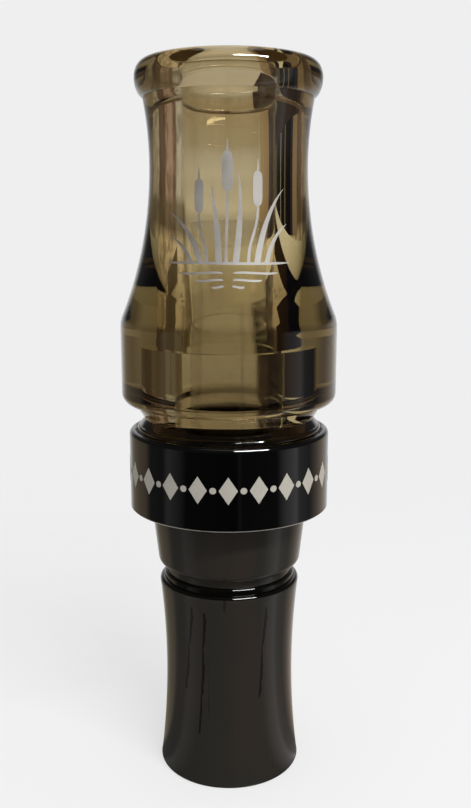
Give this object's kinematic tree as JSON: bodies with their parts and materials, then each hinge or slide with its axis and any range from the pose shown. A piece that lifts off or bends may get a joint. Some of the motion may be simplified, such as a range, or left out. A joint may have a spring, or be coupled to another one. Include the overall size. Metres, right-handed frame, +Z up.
{
  "type": "duck call",
  "caption": "Duck call with a clear smoke barrel and pressed band over a black insert, holding a toneboard with two film reeds and a wedge.",
  "frame": {"origin": "centre of the bell end's foot circle, on the surface that the call stands on", "axes": "+Z up the call's axis to the mouth; -Y is the side that the reeds face; +X to the right of it"},
  "size_m": [0.0373, 0.0372, 0.1238],
  "materials": {
    "insert": "gloss",
    "o_ring": "satin",
    "toneboard": "gloss",
    "reed": "gloss",
    "wedge": "satin",
    "barrel": "gloss",
    "band": "gloss"
  },
  "bodies": {
    "insert_body": {"insert": "insert", "toneboard": "toneboard", "wedge": "wedge"},
    "seals": {"o_ring_lower": "o_ring", "o_ring_upper": "o_ring"},
    "barrel_body": {"barrel": "barrel", "band": "band"},
    "long_reed": {"reed_long": "reed"},
    "short_reed": {"reed_short": "reed"}
  },
  "joints": [
    {"name": "barrel_twist", "type": "hinge", "parent": "insert_body", "child": "seals", "pos_m": [0, 0, 0.0576], "axis": [0, 0, 1], "continuous": true},
    {"name": "barrel_pull", "type": "slide", "parent": "seals", "child": "barrel_body", "axis": [0, 0, 1], "range_m": [0, 0.05]},
    {"name": "long_reed_lift", "type": "hinge", "parent": "insert_body", "child": "long_reed", "pos_m": [0, -0.00083, 0.06155], "axis": [1, 0, 0], "range_deg": [-2.1, 2.6], "stiffness_Nm_per_rad": 0.01},
    {"name": "short_reed_lift", "type": "hinge", "parent": "insert_body", "child": "short_reed", "pos_m": [0, -0.00083, 0.06155], "axis": [1, 0, 0], "range_deg": [-2.1, 2.6], "stiffness_Nm_per_rad": 0.01}
  ],
  "couplings": [
    {"joint": "short_reed_lift", "follows": "long_reed_lift", "ratio": 1}
  ]
}
